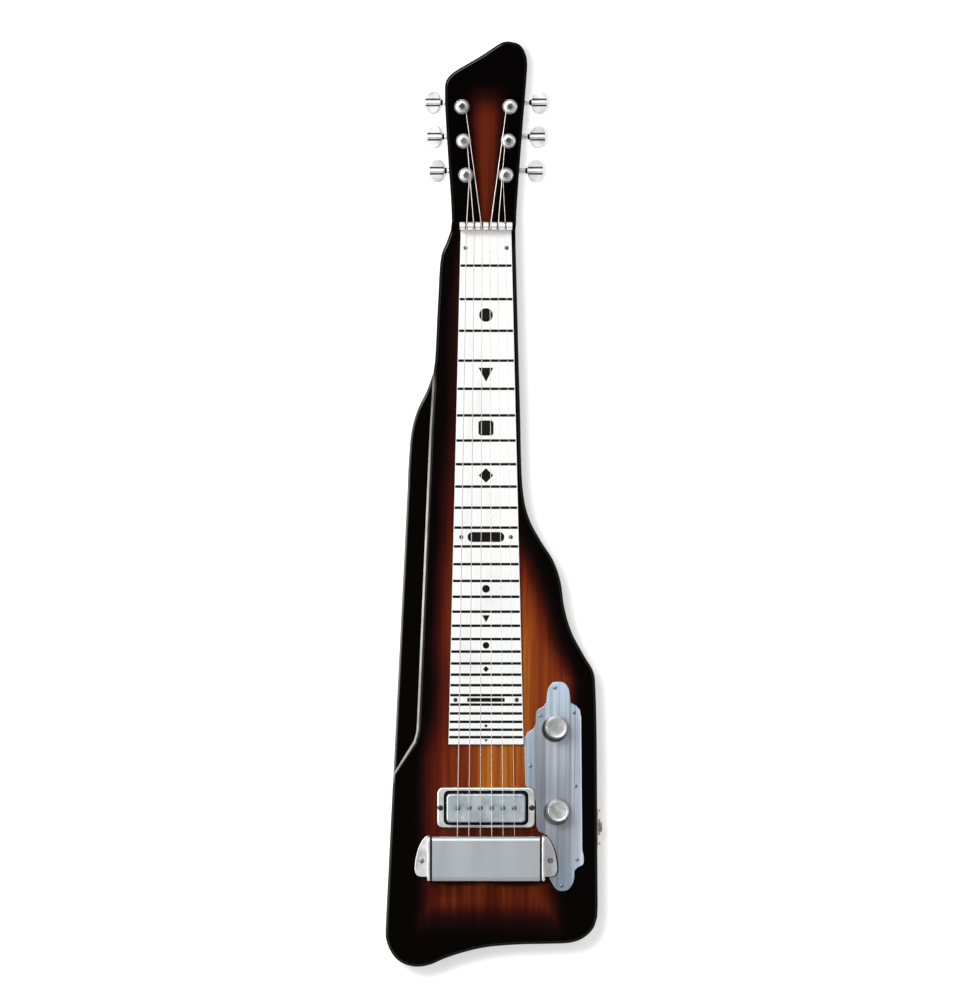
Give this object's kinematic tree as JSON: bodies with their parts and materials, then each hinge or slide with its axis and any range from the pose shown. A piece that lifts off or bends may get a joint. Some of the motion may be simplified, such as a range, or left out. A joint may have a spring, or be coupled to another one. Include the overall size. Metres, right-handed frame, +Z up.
{
  "type": "lap steel guitar",
  "caption": "Solid-body electric lap steel guitar with fretboard, nut, bridge under a folded hand rest, pickup, knobs on a metal plate, side jack and worm-geared tuning machines.",
  "frame": {"origin": "on the flat back, straight below the strings' centre line at the top of the saddle", "axes": "+Y along the strings from the saddle to the head, +X to the treble side with the knobs, +Z up out of the deck"},
  "size_m": [0.196, 0.8369, 0.069],
  "materials": {
    "sunburst": "glossy sunburst lacquer, amber in the middle to near black at the edges",
    "board_white": "smooth white sheet",
    "inlay_black": "black sheet",
    "chrome": "polished chrome plate",
    "brushed": "brushed along the strings",
    "steel": "bright nickelled steel",
    "brass": "bare brass",
    "copper": "enamelled copper wire wound on the bobbin",
    "dark_plastic": "moulded black plastic",
    "foam": "dense foam rubber",
    "magnet": "bare cast magnet",
    "wire": "insulated wire"
  },
  "bodies": {
    "guitar": {"body": "sunburst", "fretboard": "board_white", "fretboard_backing": "inlay_black", "nut": "chrome", "bridge_plate": "steel", "saddle": "chrome", "string_1": "steel", "string_2": "steel", "string_3": "steel", "string_4": "steel", "string_5": "steel", "string_6": "steel", "tuner_housing_1": "chrome", "tuner_housing_2": "chrome", "tuner_housing_3": "chrome", "tuner_housing_4": "chrome", "tuner_housing_5": "chrome", "tuner_housing_6": "chrome", "pickup_ring": "chrome", "ring_screw_1": "steel", "ring_screw_2": "steel", "pickup_cover": "chrome", "pickup_base": "brass", "pickup_bobbin": "dark_plastic", "pickup_coil": "copper", "pickup_magnet": "magnet", "pole_screws": "steel", "pickup_pad": "foam", "hand_rest": "chrome", "rest_screw_1": "steel", "rest_screw_2": "steel", "control_plate": "brushed", "volume_pot": "steel", "tone_pot": "steel", "jack_plate": "chrome", "output_jack": "steel", "jack_nut": "chrome", "wiring_harness": "wire"},
    "button_1": {"tuner_button_1": "chrome"},
    "button_2": {"tuner_button_2": "chrome"},
    "button_3": {"tuner_button_3": "chrome"},
    "button_4": {"tuner_button_4": "chrome"},
    "button_5": {"tuner_button_5": "chrome"},
    "button_6": {"tuner_button_6": "chrome"},
    "post_1": {"tuner_post_1": "chrome", "string_winding_1": "steel"},
    "post_2": {"tuner_post_2": "chrome", "string_winding_2": "steel"},
    "post_3": {"tuner_post_3": "chrome", "string_winding_3": "steel"},
    "post_4": {"tuner_post_4": "chrome", "string_winding_4": "steel"},
    "post_5": {"tuner_post_5": "chrome", "string_winding_5": "steel"},
    "post_6": {"tuner_post_6": "chrome", "string_winding_6": "steel"},
    "volume_control": {"volume_knob": "chrome", "volume_shaft": "brass"},
    "tone_control": {"tone_knob": "chrome", "tone_shaft": "brass"}
  },
  "joints": [
    {"name": "button_1_turn", "type": "hinge", "parent": "guitar", "child": "button_1", "pos_m": [0.01813, 0.62624, 0.014], "axis": [-1, 0, 0], "continuous": true},
    {"name": "button_2_turn", "type": "hinge", "parent": "guitar", "child": "button_2", "pos_m": [0.02029, 0.65709, 0.014], "axis": [-1, 0, 0], "continuous": true},
    {"name": "button_3_turn", "type": "hinge", "parent": "guitar", "child": "button_3", "pos_m": [0.02178, 0.68811, 0.014], "axis": [-1, 0, 0], "continuous": true},
    {"name": "button_4_turn", "type": "hinge", "parent": "guitar", "child": "button_4", "pos_m": [-0.02178, 0.68811, 0.014], "axis": [1, 0, 0], "continuous": true},
    {"name": "button_5_turn", "type": "hinge", "parent": "guitar", "child": "button_5", "pos_m": [-0.02029, 0.65709, 0.014], "axis": [1, 0, 0], "continuous": true},
    {"name": "button_6_turn", "type": "hinge", "parent": "guitar", "child": "button_6", "pos_m": [-0.01813, 0.62624, 0.014], "axis": [1, 0, 0], "continuous": true},
    {"name": "post_1_turn", "type": "hinge", "parent": "guitar", "child": "post_1", "pos_m": [0.01813, 0.62149, 0.014], "axis": [0, 0, 1], "continuous": true},
    {"name": "post_2_turn", "type": "hinge", "parent": "guitar", "child": "post_2", "pos_m": [0.02029, 0.65234, 0.014], "axis": [0, 0, 1], "continuous": true},
    {"name": "post_3_turn", "type": "hinge", "parent": "guitar", "child": "post_3", "pos_m": [0.02178, 0.68336, 0.014], "axis": [0, 0, 1], "continuous": true},
    {"name": "post_4_turn", "type": "hinge", "parent": "guitar", "child": "post_4", "pos_m": [-0.02178, 0.68336, 0.014], "axis": [0, 0, 1], "continuous": true},
    {"name": "post_5_turn", "type": "hinge", "parent": "guitar", "child": "post_5", "pos_m": [-0.02029, 0.65234, 0.014], "axis": [0, 0, 1], "continuous": true},
    {"name": "post_6_turn", "type": "hinge", "parent": "guitar", "child": "post_6", "pos_m": [-0.01813, 0.62149, 0.014], "axis": [0, 0, 1], "continuous": true},
    {"name": "volume_turn", "type": "hinge", "parent": "guitar", "child": "volume_control", "pos_m": [0.06374, 0.12225, 0.053], "axis": [0, 0, 1], "range_deg": [-150, 150]},
    {"name": "tone_turn", "type": "hinge", "parent": "guitar", "child": "tone_control", "pos_m": [0.06519, 0.04695, 0.053], "axis": [0, 0, 1], "range_deg": [-150, 150]}
  ],
  "couplings": [
    {"joint": "post_1_turn", "follows": "button_1_turn", "ratio": -0.071429},
    {"joint": "post_2_turn", "follows": "button_2_turn", "ratio": -0.071429},
    {"joint": "post_3_turn", "follows": "button_3_turn", "ratio": -0.071429},
    {"joint": "post_4_turn", "follows": "button_4_turn", "ratio": 0.071429},
    {"joint": "post_5_turn", "follows": "button_5_turn", "ratio": 0.071429},
    {"joint": "post_6_turn", "follows": "button_6_turn", "ratio": 0.071429}
  ]
}
